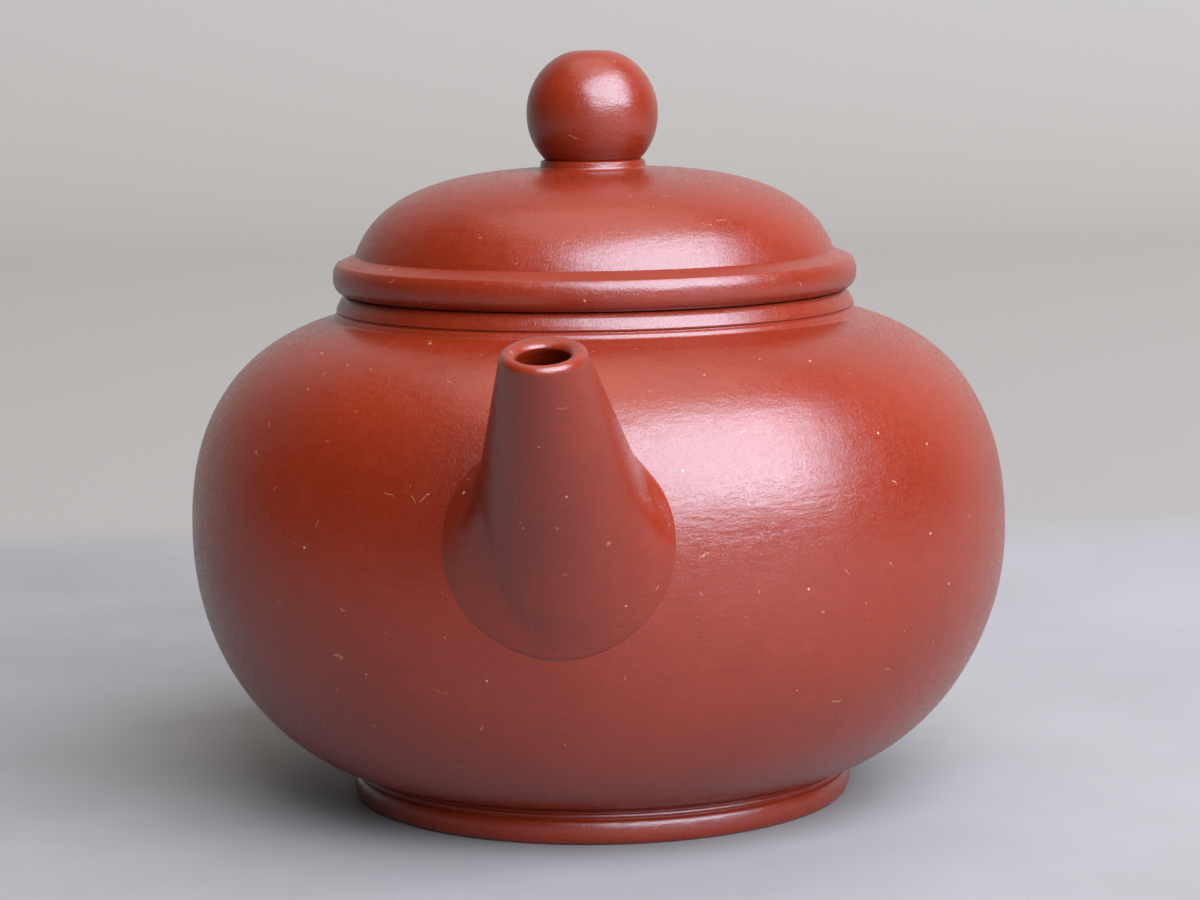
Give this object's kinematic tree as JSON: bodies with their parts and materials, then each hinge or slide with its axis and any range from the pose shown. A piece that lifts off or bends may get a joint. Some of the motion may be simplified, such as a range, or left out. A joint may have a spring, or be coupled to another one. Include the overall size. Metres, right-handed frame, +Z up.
{
  "type": "teapot",
  "caption": "Flattened round unglazed clay teapot with a low neck, short straight spout, ear-shaped loop handle, foot ring and a domed lift-off lid with a ball knob.",
  "frame": {"origin": "on the pot's axis, at the height of the foot ring's underside", "axes": "+X towards the spout, so the handle is at -X; +Z up along the pot's axis; +Y completes a right-handed frame"},
  "size_m": [0.126, 0.088, 0.0804],
  "materials": {
    "burnished_clay": "unglazed red clay, burnished to a soft satin",
    "plain_clay": "unglazed red clay, smoothed but not burnished"
  },
  "bodies": {
    "pot": {"body_wall": "burnished_clay", "shoulder_disc": "burnished_clay", "base_disc": "burnished_clay", "neck_collar": "burnished_clay", "foot_ring": "burnished_clay", "spout": "burnished_clay", "spout_strainer": "plain_clay", "handle": "burnished_clay"},
    "lid": {"lid_dome": "burnished_clay", "lid_rim": "burnished_clay", "lid_flange": "plain_clay", "knob_collar": "burnished_clay", "knob": "burnished_clay"}
  },
  "joints": [
    {"name": "lid_lift", "type": "slide", "parent": "pot", "child": "lid", "axis": [0, 0, 1], "range_m": [0, 0.045]}
  ]
}
